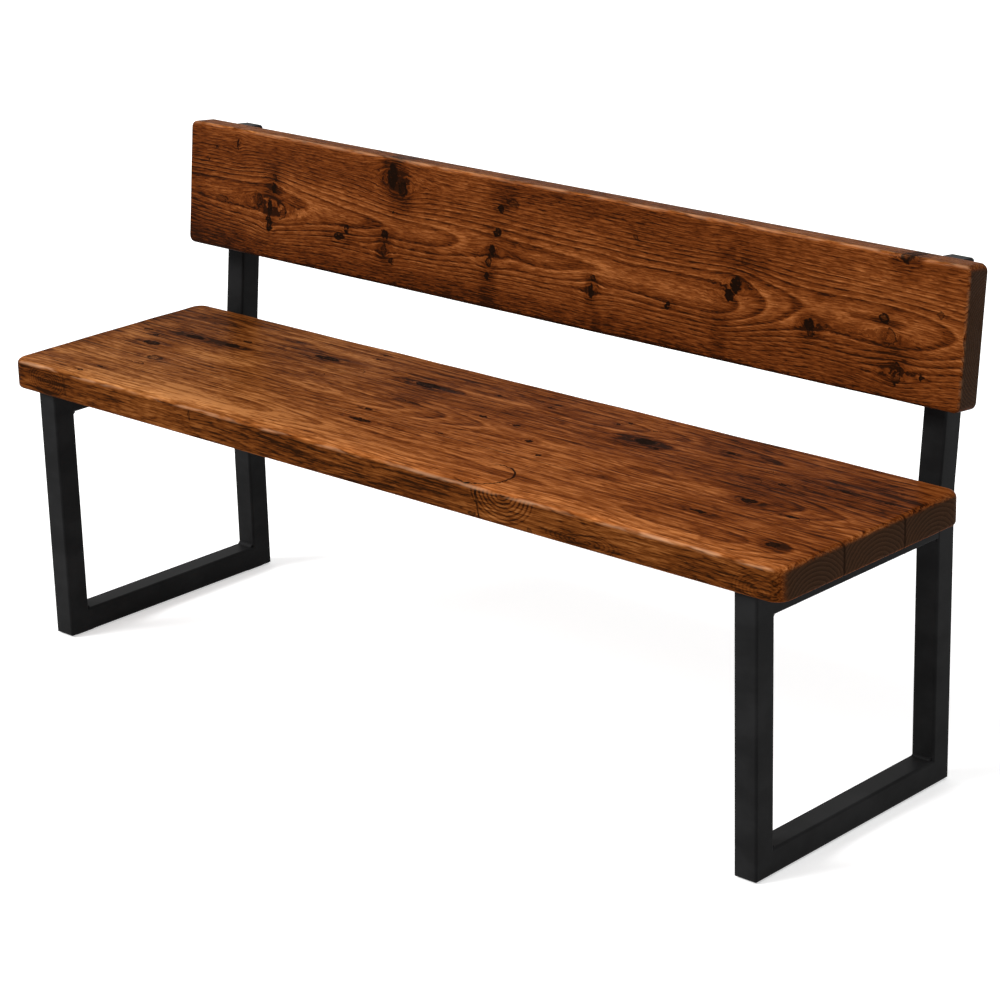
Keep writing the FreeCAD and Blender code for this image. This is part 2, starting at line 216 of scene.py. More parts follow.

# How each board's wood looks, with sizes along, across and through the grain. A layer has its sizes and
# its share, and an edge row (golden tone with painted highlight, and painted highlight alone) its side (0
# near, 1 far), its reach and its share
BACKREST_LOOK = {
    "seed": 3.1,
    "pith": 102.0, "pith_sway": 40.0, "pith_depth": 10.0, "depth_sway": 40.0, "slant_share": 0.022,
    "ring": 4.6, "band": 75.0, "calm_share": 0.40, "ring_share": 0.33,
    "wander": 12.0, "wander_sizes": (420.0, 90.0, 90.0), "ragged": 14.0, "bending_height": 9,
    "stroke_sizes": (30.0, 1.8, 1.8), "stroke_share": 0.28,
    "hair_sizes": (34.0, 6.0, 6.0), "hair_share": 0.18,
    "layers": (
        ((45.0, 1.2, 1.2), 0.35), ((12.0, 2.2, 2.2), 0.55),
        ((220.0, 45.0, 45.0), 0.30), ((300.0, 140.0, 140.0), 0.30)),
    "level_share": 0.56, "halo_share": 0.20, "side_shade_share": 0.05, "pale_share": 0.0,
    "worn_and_highlight_edges": ((1, 9.0, 0.9),), "painted_highlight_edges": ((1, 6.0, 0.4),),
    "painted_highlight_end_share": 0.12, "seams": (), "roughness": 0.42, "specular": 0.008,
    "ring_relief_share": 0.8, "stroke_relief_share": 0.6, "bump": 0.8, "relief": 0.8 * MM,
}
SEAT_LOOK = {
    "seed": 11.7,
    "pith_sway": 40.0, "pith_depth": 16.0, "depth_sway": 40.0, "slant_share": 0.02,
    "ring": 6.5, "band": 60.0, "calm_share": 0.5, "ring_share": 0.26,
    "wander": 20.0, "wander_sizes": (320.0, 50.0, 50.0), "ragged": 9.0, "bending_height": 5,
    "stroke_sizes": (80.0, 4.0, 2.4), "stroke_share": 0.22,
    "hair_sizes": (60.0, 10.0, 6.0), "hair_share": 0.25,
    "layers": (
        ((60.0, 2.2, 1.2), 0.55), ((20.0, 3.8, 3.0), 0.65),
        ((170.0, 50.0, 50.0), 0.80), ((420.0, 150.0, 150.0), 0.75)),
    "level_share": 0.64, "halo_share": 0.44, "side_shade_share": 0.25, "pale_share": 0.8,
    "worn_and_highlight_edges": ((0, 60.0, 0.60),), "painted_highlight_edges": ((0, 6.5, 0.75),),
    "painted_highlight_end_share": 0.1, "roughness": 0.36, "specular": 0.003,
    "ring_relief_share": 0.35, "stroke_relief_share": 0.3, "bump": 0.35, "relief": 0.7 * MM,
}

# Finishes of the frames, as linear light and millimetres
COAT_BLACK = (0.0085, 0.0085, 0.0087)
COAT_ROUGHNESS = 0.36
COAT_SPECULAR = 0.024
PLASTIC_BLACK = (0.0070, 0.0072, 0.0078)
PLASTIC_ROUGHNESS = 0.42
RUBBER_BLACK = (0.0090, 0.0090, 0.0090)
RUBBER_ROUGHNESS = 0.70
ZINC_GREY = (0.16, 0.16, 0.17)
ZINC_ROUGHNESS = 0.35
ZINC_SPECULAR = 0.3
ZINC_METAL = 0.6
PLY_TAN = (0.42, 0.27, 0.14)
PLY_ROUGHNESS = 0.6
PLY_SIZES = (60.0, 60.0, 1.4)
PEEL_SIZES = (1.3, 1.3, 1.3)
GRAIN_DETAIL = 3.0
GRAIN_STRENGTH = 0.12
GRAIN_RELIEF = 0.2 * MM
PATCH_SIZES = (90.0, 90.0, 60.0)
PATCH_DETAIL = 4.0
PATCH_SHARES = (0.35, 0.70)
PATCH_TINT = 1.7
PATCH_DULL_SHARE = 0.16

# What the boards share: sizes of the noise that breaks things up, and where each mark fades in and out
RAGGED_SIZES = (9.0, 7.0, 16.0)
SPECK_SIZES = (6.0, 4.0, 4.0)
SPECK_SHARES = (0.30, 0.44, 0.40, 1.0)
PORE_SIZES = (22.0, 0.9, 0.9)
PORE_SHARES = (0.66, 0.76, 0.0, 0.4)
PORE_DETAIL = 1.0
SWAY_LENGTH = 700.0
KNOT_SLANT_SHARE = 0.12
STROKE_SHARES = (0.42, 0.59)
STROKE_MIDDLE = 0.5
HAIR_SHARES = (0.09, 0.0)
LATE_SHARES = (0.55, 0.85)
LATE_END_SHARES = (1.0, 0.94)
RIDGE_SHARES = (0.0, 0.06)
RIDGE_END_SHARES = (0.36, 0.10)
RIDGE_SHARE = 0.7
BOLD_SHARE = 0.4
SIDE_SHARES = (0.5, 0.95)
END_SHARES = (0.72, 1.0, 0.0, 0.95)
PALE_FROM = 250.0
PALE_TO = -650.0
PALE_SIDE_SHARE = 0.8
GOLD_SIZES = (70.0, 14.0, 14.0)
GOLD_SHARES = (0.30, 0.70, 0.30, 1.0)
# Painted highlight on the arris and the end edges
PAINTED_HIGHLIGHT_SIZES = (60.0, 9.0, 9.0)
PAINTED_HIGHLIGHT_SHARES = (0.40, 0.62)
PAINTED_HIGHLIGHT_END_REACH = 5.0
EDGE_DROPS = (7.0, 1.0)
SEAM_OPENS = (700.0, 760.0)
SEAM_REACHES = (1.6, 4.0)
SEAM_SHARE = 0.8
DULL_SIZES = (120.0, 60.0, 60.0)
DULL_SHARE = 0.20
STROKE_DULL_SHARE = -0.10
KNOT_DULL_SHARE = 0.15
HAIR_RELIEF_SHARE = -0.2

# Noise as the shader nodes make it: from 0 to 1 about its middle
NOISE_DETAIL = 2.0
NOISE_ROUGHNESS = 0.55
NOISE_MIDDLE = 0.5

# Where the colours go into a Mix node, and where the mixed one comes out
MIX_FIRST = 6
MIX_SECOND = 7
MIX_RESULT = 2

# Marks on wood: each node group draws one of them, and adds it to those drawn before
SIZES = ("Centre", "Height", "Half Length", "Half Height")
PLACE = ("Along", "Across", *SIZES)
HEIGHT_COLUMN = SIZES.index("Height")
HALF_HEIGHT_COLUMN = SIZES.index("Half Height")
MARK_REACH_SHARE = 2.0
BEND_LENGTH_SHARE = 0.12
CORE_SHARES = (1.15, 0.75)
CORE_MIDDLE_SHARES = (0.10, 0.50, 0.62, 1.0)
CORE_CLEAR_SHARES = (0.10, 0.62)
RIM_SHARES = (0.7, 1.0)
RIM_END_SHARES = (1.4, 1.1)
RIM_SIDE_SHARES = (-0.7, 0.2)
HALO_LENGTH_SHARE = 0.15
HALO_HEIGHT_SHARE = 0.40
HALO_SHARES = (2.0, 0.0)
# Painted highlight ring round each knot
GLINT_SHARES = (1.0, 1.5)
GLINT_END_SHARES = (3.2, 1.7)
GLINT_SHARE = 0.55
# Each knot hands the place on, changed by next to nothing, so that knots are worked out one after another
HANDING_ON_SHARE = 0.000001
SHADE_SHARES = (1.6, 0.0)
CRACK_SHARES = (0.11, 0.03)
CRACK_SIDE_SHARES = (-0.6, 0.0)
FIGURE_RINGS = 8.0
FIGURE_RAGGED_SHARE = 0.35
FIGURE_SHARES = (0.35, 0.70)
FIGURE_END_SHARES = (1.0, 0.88)
FIGURE_RIM_SHARES = (1.15, 0.85)


class Graph:
    """Short calls that add shader nodes to a tree and join them."""

    def __init__(self, tree):
        self.tree = tree

    def add(self, kind, inputs=None, **settings):
        """A node with its settings, and its inputs set or linked by name or number."""
        node = self.tree.nodes.new(kind)
        for name, value in settings.items():
            setattr(node, name, value)
        for name, value in (inputs or {}).items():
            self.feed(node.inputs[name], value)
        return node

    def feed(self, socket, value):
        """Links a socket, or sets a constant."""
        if isinstance(value, bpy.types.NodeSocket):
            self.tree.links.new(value, socket)
        elif hasattr(value, "__len__") and len(value) == 3 and socket.type == "RGBA":
            socket.default_value = (*value, 1.0)
        else:
            socket.default_value = value

    def math(self, operation, *values):
        """One Math node."""
        return self.add("ShaderNodeMath", dict(enumerate(values)), operation=operation).outputs[0]

    def times(self, *values):
        """Product of several values."""
        result = values[0]
        for value in values[1:]:
            result = self.math("MULTIPLY", result, value)
        return result

    def total(self, *values):
        """Sum of several values."""
        result = values[0]
        for value in values[1:]:
            result = self.math("ADD", result, value)
        return result

    def away(self, value, middle):
        """How far a value is from a middle."""
        return self.math("ABSOLUTE", self.math("SUBTRACT", value, middle))

    def range(self, value, low, high, to_low=0.0, to_high=1.0):
        """A value mapped smoothly from one range to another."""
        inputs = {"Value": value, "From Min": low, "From Max": high, "To Min": to_low, "To Max": to_high}
        return self.add("ShaderNodeMapRange", inputs, interpolation_type="SMOOTHSTEP").outputs[0]

    def mix(self, share, first, second, blend="MIX"):
        """Two colours mixed."""
        node = self.add("ShaderNodeMix", data_type="RGBA", blend_type=blend)
        self.feed(node.inputs["Factor"], share)
        self.feed(node.inputs[MIX_FIRST], first)
        self.feed(node.inputs[MIX_SECOND], second)
        return node.outputs[MIX_RESULT]

    def vector(self, x, y, z):
        """A vector from three values."""
        return self.add("ShaderNodeCombineXYZ", {"X": x, "Y": y, "Z": z}).outputs[0]

    def split(self, vector):
        """The three values of a vector."""
        parts = self.add("ShaderNodeSeparateXYZ", {0: vector}).outputs
        return parts["X"], parts["Y"], parts["Z"]

    def noise(self, vector, sizes, detail=NOISE_DETAIL):
        """Noise from 0 to 1 whose lumps are about as large as the three sizes."""
        shares = tuple(1.0 / size for size in sizes)
        scaled = self.add("ShaderNodeVectorMath", {0: vector, 1: shares}, operation="MULTIPLY").outputs[0]
        inputs = {"Vector": scaled, "Scale": 1.0, "Detail": detail, "Roughness": NOISE_ROUGHNESS}
        return self.add("ShaderNodeTexNoise", inputs).outputs["Fac"]

    def swing(self, vector, sizes, amount):
        """Noise about zero, over a whole swing of about the amount."""
        return self.times(self.math("SUBTRACT", self.noise(vector, sizes), NOISE_MIDDLE), amount)

    def line_noise(self, value, length, seed):
        """Noise along one value, about zero."""
        along = self.math("MULTIPLY_ADD", value, 1.0 / length, seed)
        inputs = {"W": along, "Scale": 1.0, "Detail": NOISE_DETAIL}
        fac = self.add("ShaderNodeTexNoise", inputs, noise_dimensions="1D").outputs["Fac"]
        return self.math("SUBTRACT", fac, NOISE_MIDDLE)


def new_group(name, inputs, outputs):
    """An empty node group of plain numbers, with its graph, what it is given and its result."""
    tree = bpy.data.node_groups.new(name, "ShaderNodeTree")
    for socket in inputs:
        tree.interface.new_socket(socket, in_out="INPUT", socket_type="NodeSocketFloat")
    for socket in outputs:
        tree.interface.new_socket(socket, in_out="OUTPUT", socket_type="NodeSocketFloat")
    graph = Graph(tree)
    return tree, graph, graph.add("NodeGroupInput").outputs, graph.add("NodeGroupOutput").inputs


def from_centre(graph, given):
    """How far along and across a point lies from a mark's middle, in half sizes, and both squared."""
    along = graph.math("SUBTRACT", given["Along"], given["Centre"])
    along = graph.math("DIVIDE", along, given["Half Length"])
    across = graph.math("SUBTRACT", given["Across"], given["Height"])
    across = graph.math("DIVIDE", across, given["Half Height"])
    return along, across, graph.times(along, along), graph.times(across, across)


def bend_group():
    """Bends the grain round one knot, as a stream flows round a stone."""
    tree, graph, given, result = new_group("bend", (*PLACE, "Bend"), ("Bend",))
    along, across, along_square, across_square = from_centre(graph, given)
    distance = graph.math("MULTIPLY_ADD", along_square, BEND_LENGTH_SHARE, across_square)
    push = graph.times(across, given["Half Height"])
    push = graph.math("DIVIDE", push, graph.math("ADD", distance, 1.0))
    graph.feed(result["Bend"], graph.math("SUBTRACT", given["Bend"], push))
    return tree


def knot_group():
    """One knot: a dark core, a rim on its right, a stained halo and a painted highlight ring round it."""
    looks = (*PLACE, "Dark", "Rim", "Core", "Halo")
    tree, graph, given, result = new_group("knot", looks, ("Core", "Halo", "Along"))
    along, across, along_square, across_square = from_centre(graph, given)
    distance = graph.math("ADD", along_square, across_square)
    core = graph.times(graph.range(distance, *CORE_SHARES), graph.range(distance, *CORE_MIDDLE_SHARES))
    core = graph.times(core, given["Dark"])
    rim = graph.times(graph.range(distance, *RIM_SHARES), graph.range(distance, *RIM_END_SHARES))
    rim = graph.times(rim, graph.range(along, *RIM_SIDE_SHARES), given["Rim"])
    graph.feed(result["Core"], graph.math("MAXIMUM", given["Core"], graph.math("MAXIMUM", core, rim)))
    near = graph.times(across_square, HALO_HEIGHT_SHARE)
    near = graph.math("MULTIPLY_ADD", along_square, HALO_LENGTH_SHARE, near)
    # A painted highlight ring just outside the core
    glint = graph.times(graph.range(distance, *GLINT_SHARES), graph.range(distance, *GLINT_END_SHARES))
    halo = graph.math("SUBTRACT", graph.range(near, *HALO_SHARES), graph.times(glint, GLINT_SHARE))
    halo = graph.times(halo, given["Dark"])
    halo = graph.math("ADD", given["Halo"], halo)
    graph.feed(result["Halo"], halo)
    graph.feed(result["Along"], graph.math("MULTIPLY_ADD", halo, HANDING_ON_SHARE, given["Along"]))
    return tree


def shade_group():
    """One soft-edged patch of tone, used for stains, painted shade and painted light."""
    tree, graph, given, result = new_group("shade", (*PLACE, "Tone", "Shade"), ("Shade",))
    along, across, along_square, across_square = from_centre(graph, given)
    distance = graph.math("ADD", along_square, across_square)
    patch = graph.times(graph.range(distance, *SHADE_SHARES), given["Tone"])
    graph.feed(result["Shade"], graph.math("ADD", given["Shade"], patch))
    return tree


def crack_group():
    """One thin crack, along the right-hand half of an oval."""
    tree, graph, given, result = new_group("crack", (*PLACE, "Depth", "Core"), ("Core",))
    along, across, along_square, across_square = from_centre(graph, given)
    line = graph.range(graph.away(graph.math("ADD", along_square, across_square), 1.0), *CRACK_SHARES)
    line = graph.times(line, graph.range(along, *CRACK_SIDE_SHARES), given["Depth"])
    graph.feed(result["Core"], graph.math("MAXIMUM", given["Core"], line))
    return tree


def figure_group():
    """Growth rings cut across: ovals inside one another."""
    tree, graph, given, result = new_group("figure", (*PLACE, "Depth", "Figure"), ("Figure",))
    along, across, along_square, across_square = from_centre(graph, given)
    distance = graph.math("SQRT", graph.math("ADD", along_square, across_square))
    ring = graph.math("FRACT", graph.times(distance, FIGURE_RINGS))
    line = graph.times(graph.range(ring, *FIGURE_SHARES), graph.range(ring, *FIGURE_END_SHARES))
    line = graph.times(line, graph.range(distance, *FIGURE_RIM_SHARES), given["Depth"])
    graph.feed(result["Figure"], graph.math("MAXIMUM", given["Figure"], line))
    return tree


BEND_GROUP = bend_group()
KNOT_GROUP = knot_group()
SHADE_GROUP = shade_group()
CRACK_GROUP = crack_group()
FIGURE_GROUP = figure_group()


def draw_marks(graph, tree, names, along, across, so_far, rows):
    """One node group for each row of a table, each fed with what the one before it gave."""
    for row in rows:
        node = graph.add("ShaderNodeGroup", node_tree=tree)
        for name, value in {"Along": along, "Across": across, **dict(zip(names, row)), **so_far}.items():
            graph.feed(node.inputs[name], value)
        so_far = {name: node.outputs[name] for name in so_far}
    return so_far


def new_material(name):
    """An empty node material, its graph and its shader."""
    material = bpy.data.materials.new(name)
    material.use_nodes = True
    tree = material.node_tree
    tree.nodes.clear()
    graph = Graph(tree)
    shader = graph.add("ShaderNodeBsdfPrincipled")
    output = graph.add("ShaderNodeOutputMaterial")
    tree.links.new(shader.outputs[0], output.inputs["Surface"])
    return material, graph, shader


def place_in_mm(graph):
    """Place on a piece in millimetres."""
    place = graph.add("ShaderNodeTexCoord").outputs["Object"]
    return graph.add("ShaderNodeVectorMath", {0: place, "Scale": PER_METRE}, operation="SCALE").outputs[0]


class Pine:
    """Dark-stained pine of one board: X runs along its grain, Y across it and Z through it."""

    def __init__(self, name, look, marks):
        self.material, self.graph, self.shader = new_material(name)
        self.look = look
        self.marks = marks
        self.find_place()
        self.draw_knots()
        self.run_grain()
        self.grow_rings()
        self.brush()
        self.colour_wood()
        self.wear_and_highlight_edges()
        self.colour_ends()
        self.polish()
        self.raise_grain()

    def find_place(self):
        """Place on the board, and which way its surface faces."""
        graph = self.graph
        self.place = place_in_mm(graph)
        self.along, self.across, self.through = graph.split(self.place)
        facing = graph.split(graph.add("ShaderNodeTexCoord").outputs["Normal"])
        self.facing_end = graph.math("ABSOLUTE", facing[0])
        self.facing_side = graph.range(graph.math("ABSOLUTE", facing[1]), *SIDE_SHARES)

    def draw_knots(self):
        """Ragged knots that slant through the board, cracks, patches of stain, painted shade and painted
        light, and cut growth rings.
        """
        graph, marks = self.graph, self.marks
        ragged = graph.swing(self.place, RAGGED_SIZES, self.look["ragged"])
        slanted = graph.math("MULTIPLY_ADD", self.through, KNOT_SLANT_SHARE, self.along)
        along = graph.total(slanted, ragged)
        on_top = (along, graph.math("SUBTRACT", self.across, ragged))
        on_face = (along, graph.total(self.through, ragged))
        looks = (*SIZES, "Dark", "Rim")
        self.bend = {"Bend": graph.swing(self.place, self.look["wander_sizes"], self.look["wander"])}
        none = {"Core": 0.0, "Halo": 0.0, "Along": along}
        found = none
        for knot in marks["knots"]:
            if knot[HALF_HEIGHT_COLUMN] >= self.look["bending_height"]:
                self.bend = draw_marks(graph, BEND_GROUP, SIZES, *on_top, self.bend, [knot])
            found = draw_marks(graph, KNOT_GROUP, looks, *on_top, found, [knot])
        self.halo = found["Halo"]
        speck = graph.range(graph.noise(self.place, SPECK_SIZES), *SPECK_SHARES)
        core = graph.range(graph.times(found["Core"], speck), *CORE_CLEAR_SHARES)
        deep = (*SIZES, "Depth")
        core = draw_marks(graph, CRACK_GROUP, deep, *on_top, {"Core": core}, marks["cracks"])["Core"]
        face = draw_marks(graph, KNOT_GROUP, looks, *on_face, none, marks["face_knots"])
        level = graph.math("MULTIPLY_ADD", ragged, FIGURE_RAGGED_SHARE, self.through)
        rings = draw_marks(graph, FIGURE_GROUP, deep, self.along, level, {"Figure": 0.0}, marks["figures"])
        self.core = graph.math("MAXIMUM", core, graph.times(self.facing_side, face["Core"]))
        self.figure = graph.times(self.facing_side, rings["Figure"])
        # Patches of stain, painted shade and painted light
        shades = draw_marks(graph, SHADE_GROUP, (*SIZES, "Tone"), *on_top, {"Shade": 0.0}, marks["shades"])
        self.shade = shades["Shade"]

    def run_grain(self):
        """Grain wanders along the board, and flows round the larger knots."""
        graph = self.graph
        self.flow = graph.total(self.across, self.bend["Bend"])
        self.grain = graph.vector(self.along, self.flow, self.through)

    def grow_rings(self):
        """Growth rings round a pith that lies under the face and slants along the board."""
        graph, look = self.graph, self.look
        sway = graph.line_noise(self.along, SWAY_LENGTH, look["seed"])
        pith = graph.math("MULTIPLY_ADD", sway, look["pith_sway"], look["pith"])
        side = graph.math("SUBTRACT", self.flow, pith)
        slant = graph.math("MULTIPLY_ADD", self.along, look["slant_share"], look["pith_depth"])
        depth = graph.total(self.through, slant, graph.times(sway, look["depth_sway"]))
        distance = graph.math("SQRT", graph.total(graph.times(side, side), graph.times(depth, depth)))
        ring = graph.math("FRACT", graph.math("DIVIDE", distance, look["ring"]))
        late = graph.times(graph.range(ring, *LATE_SHARES), graph.range(ring, *LATE_END_SHARES))
        ridge = graph.times(graph.range(ring, *RIDGE_SHARES), graph.range(ring, *RIDGE_END_SHARES))
        ridge = graph.times(ridge, RIDGE_SHARE)
        band = look["band"]
        bold = graph.range(graph.math("ABSOLUTE", side), band, band * BOLD_SHARE, look["calm_share"], 1.0)
        self.ring = ring
        self.lines = graph.times(graph.math("SUBTRACT", ridge, late), bold)

    def brush(self):
        """Brushed strokes, and hairlines that wind between them."""
        graph, look = self.graph, self.look
        self.strokes = graph.range(graph.noise(self.grain, look["stroke_sizes"]), *STROKE_SHARES)
        winding = graph.noise(self.grain, look["hair_sizes"])
        self.hairs = graph.range(graph.away(winding, NOISE_MIDDLE), *HAIR_SHARES)

    def colour_wood(self):
        """From dark in the hollows to orange on the raised, worn strokes."""
        graph, look = self.graph, self.look
        layers = [graph.swing(self.grain, sizes, share) for sizes, share in look["layers"]]
        level = graph.total(
            graph.times(self.lines, look["ring_share"]),
            graph.times(graph.math("SUBTRACT", self.strokes, STROKE_MIDDLE), look["stroke_share"]),
            graph.times(self.hairs, -look["hair_share"]),
            graph.times(self.halo, -look["halo_share"]),
            # Faces turned across the grain, the seat's front and rear and the backrest's top and
            # underside, get painted shade
            graph.times(self.facing_side, -look["side_shade_share"]),
            # Patches of stain, painted shade and painted light
            graph.times(self.shade, -1.0),
            graph.times(self.figure, -1.0),
            *layers,
            look["level_share"],
        )
        ramp = graph.add("ShaderNodeValToRGB", {"Fac": level})
        stops = ramp.color_ramp.elements
        while len(stops) < len(STAIN_SHARES):
            stops.new(1.0)
        for stop, share, stain in zip(stops, STAIN_SHARES, STAIN_COLOURS):
            stop.position = share
            stop.color = (*stain, 1.0)
        pale = graph.range(self.along, PALE_FROM, PALE_TO, 0.0, look["pale_share"])
        pale = graph.math("MAXIMUM", pale, graph.times(self.facing_side, PALE_SIDE_SHARE))
        colour = graph.mix(pale, ramp.outputs["Color"], PALE_TINT, "MULTIPLY")
        pores = graph.range(graph.noise(self.grain, PORE_SIZES, PORE_DETAIL), *PORE_SHARES)
        colour = graph.mix(pores, colour, PORE_BROWN)
        self.colour = graph.mix(self.core, colour, KNOT_BLACK)

    def edge_share(self, rows, end_share):
        """How near a point is to the upper edges and ends that get the golden tone and the painted
        highlight.
        """
        graph, look = self.graph, self.look
        upper = graph.range(self.through, *(look["thickness"] - drop for drop in EDGE_DROPS))
        end = graph.math("SUBTRACT", look["half_length"], graph.math("ABSOLUTE", self.along))
        share = graph.range(end, PAINTED_HIGHLIGHT_END_REACH, 0.0, 0.0, end_share)
        for side, reach, amount in rows:
            near = graph.range(graph.away(self.across, side * look["width"]), reach, 0.0, 0.0, amount)
            share = graph.math("MAXIMUM", share, near)
        return graph.times(share, upper)

    def wear_and_highlight_edges(self):
        """Rounded edges with a golden tone, partly wear and partly painted highlight, and painted
        highlight patches on the arris.
        """
        graph, look = self.graph, self.look
        # Golden tone on the rounded edges: partly wear, partly painted highlight
        gold = graph.range(graph.noise(self.place, GOLD_SIZES), *GOLD_SHARES)
        gold = graph.times(gold, self.edge_share(look["worn_and_highlight_edges"], 0.0))
        self.colour = graph.mix(gold, self.colour, WORN_AND_HIGHLIGHT_TINT, "MULTIPLY")
        # Painted highlight patches on the arris and the end edges
        painted_highlight = graph.range(graph.noise(self.place, PAINTED_HIGHLIGHT_SIZES), *PAINTED_HIGHLIGHT_SHARES)
        self.painted_highlight = graph.times(painted_highlight, self.edge_share(look["painted_highlight_edges"], look["painted_highlight_end_share"]))

    def colour_ends(self):
        """End grain, which soaks up more stain and is painted darker as shade, and thin dark seams where
        boards meet.
        """
        graph = self.graph
        # The ends are dark partly from end grain, partly as painted shade
        end_wood = graph.mix(self.ring, END_GREY, END_BROWN)
        self.colour = graph.mix(graph.range(self.facing_end, *END_SHARES), self.colour, end_wood)
        # Painted highlight on the arris
        self.colour = graph.mix(self.painted_highlight, self.colour, PAINTED_HIGHLIGHT_COLOUR)
        near_end = graph.range(graph.math("ABSOLUTE", self.along), *SEAM_OPENS, *SEAM_REACHES)
        for seam in self.look["seams"]:
            beside = graph.range(graph.away(self.across, seam), near_end, 0.0, 0.0, SEAM_SHARE)
            self.colour = graph.mix(beside, self.colour, KNOT_BLACK)
        graph.feed(self.shader.inputs["Base Color"], self.colour)

    def polish(self):
        """Satin wax, duller where the strokes are low and in the knots."""
        graph = self.graph
        dull = graph.total(
            graph.times(self.strokes, STROKE_DULL_SHARE),
            graph.times(graph.noise(self.place, DULL_SIZES), DULL_SHARE),
            graph.times(self.core, KNOT_DULL_SHARE),
            self.look["roughness"],
        )
        graph.feed(self.shader.inputs["Roughness"], dull)
        self.shader.inputs["Specular IOR Level"].default_value = self.look["specular"]

    def raise_grain(self):
        """Brushed relief: growth rings and strokes stand up, hairlines lie deep."""
        graph, look = self.graph, self.look
        relief = graph.total(
            graph.times(self.lines, look["ring_relief_share"]),
            graph.times(self.strokes, look["stroke_relief_share"]),
            graph.times(self.hairs, HAIR_RELIEF_SHARE),
        )
        inputs = {"Height": relief, "Strength": look["bump"], "Distance": look["relief"]}
        bump = graph.add("ShaderNodeBump", inputs)
        graph.feed(self.shader.inputs["Normal"], bump.outputs["Normal"])


def span(node, direction):
    """Least and greatest reach of a CAD node along a direction."""
    reaches = [vertex.co.dot(direction) for vertex in nodes[node].data.vertices]
    return min(reaches), max(reaches)


def outline(length, width, corner):
    """Points round a rectangle with rounded corners, each with its outward direction."""
    points = []
    right = length / 2 - corner
    far = width - corner
    start = -QUARTER_TURN
    for centre in ((right, corner), (right, far), (-right, far), (-right, corner)):
        for step in range(CORNER_STEPS + 1):
            angle = start + QUARTER_TURN * step / CORNER_STEPS
            outward = Vector((math.cos(angle), math.sin(angle)))
            points.append((Vector(centre) + outward * corner, outward))
        start += QUARTER_TURN
    full = []
    for (point, outward), (after, after_outward) in zip(points, points[1:] + points[:1]):
        full.append((point, outward))
        pieces = int((after - point).length / OUTLINE_STEP)
        for piece in range(1, pieces):
            full.append((point.lerp(after, piece / pieces), outward.lerp(after_outward, piece / pieces)))
    return full


def edge_rings(around, thickness, edge, under_edge, seed):
    """How far in and how high each ring of points lies: eased below, unevenly worn above."""
    rings = []
    for step in range(LOWER_STEPS + 1):
        angle = QUARTER_TURN * step / LOWER_STEPS
        inset, height = 1 - math.sin(angle), 1 - math.cos(angle)
        rings.append([(under_edge * inset, under_edge * height)] * len(around))
    worn = []
    for point, outward in around:
        swell = noise.noise(Vector((point.x / WEAR_LENGTH, point.y / WEAR_LENGTH, seed)))
        worn.append(edge * (1 + WEAR_SHARE * swell))
    for step in range(UPPER_STEPS + 1):
        angle = QUARTER_TURN * step / UPPER_STEPS
        inset, drop = 1 - math.cos(angle), 1 - math.sin(angle)
        rings.append([(radius * inset, thickness - radius * drop) for radius in worn])
    return rings


def slab(length, width, thickness, corner, edge, under_edge, seed):
    """Board lying flat, as a mesh, with rounded corners and edges."""
    mesh = bmesh.new()
    around = outline(length, width, corner)
    loops = []
    for ring in edge_rings(around, thickness, edge, under_edge, seed):
        loop = []
        for (point, outward), (inset, height) in zip(around, ring):
            inner = point - outward * inset
            loop.append(mesh.verts.new((inner.x, inner.y, height)))
        loops.append(loop)
    for lower, upper in zip(loops, loops[1:]):
        for index in range(len(around)):
            after = (index + 1) % len(around)
            face = mesh.faces.new((lower[index], lower[after], upper[after], upper[index]))
            face.smooth = True
    mesh.faces.new(list(reversed(loops[0])))
    mesh.faces.new(loops[-1])
    return mesh


def part_slab(mesh, level, direction):
    """Cuts away what lies beyond a level across the grain, and closes the cut with a flat face."""
    geometry = mesh.verts[:] + mesh.edges[:] + mesh.faces[:]
    plane = {"plane_co": (0, level, 0), "plane_no": (0, direction, 0)}
    found = bmesh.ops.bisect_plane(mesh, geom=geometry, clear_outer=True, **plane)
    edges = [item for item in found["geom_cut"] if isinstance(item, bmesh.types.BMEdge)]
    for face in bmesh.ops.holes_fill(mesh, edges=edges)["faces"]:
        face.smooth = False
        for edge in face.edges:
            edge.smooth = False


def add_piece(name, mesh, place, material, node):
    """A new piece that stands for a CAD node."""
    data = bpy.data.meshes.new(name)
    bmesh.ops.recalc_face_normals(mesh, faces=mesh.faces[:])
    mesh.to_mesh(data)
    mesh.free()
    data.materials.append(material)
    piece = bpy.data.objects.new(name, data)
    scene.collection.objects.link(piece)
    piece.matrix_world = place
    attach(piece, "root")
    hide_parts(node)
    return piece


def sizes_in_mm(length, width, thickness):
    """A board's sizes, as its material reads them."""
    half_length = length / 2 * PER_METRE
    return {"half_length": half_length, "width": width * PER_METRE, "thickness": thickness * PER_METRE}


def rows_between(rows, low, high):
    """Rows of a table of marks whose ovals reach into a strip across the grain."""
    kept = []
    for row in rows:
        reach = MARK_REACH_SHARE * row[HALF_HEIGHT_COLUMN]
        if low - reach < row[HEIGHT_COLUMN] < high + reach:
            kept.append(row)
    return kept


def seat_marks(low, high, front):
    """Marks that reach into one seat board. Only the front board shows its front face."""
    return {
        "knots": rows_between(SEAT_KNOTS, low, high),
        "shades": rows_between(SEAT_SHADES, low, high),
        "cracks": rows_between(SEAT_CRACKS, low, high),
        "face_knots": FRONT_FACE_KNOTS if front else (),
        "figures": FRONT_FACE_FIGURES if front else (),
    }


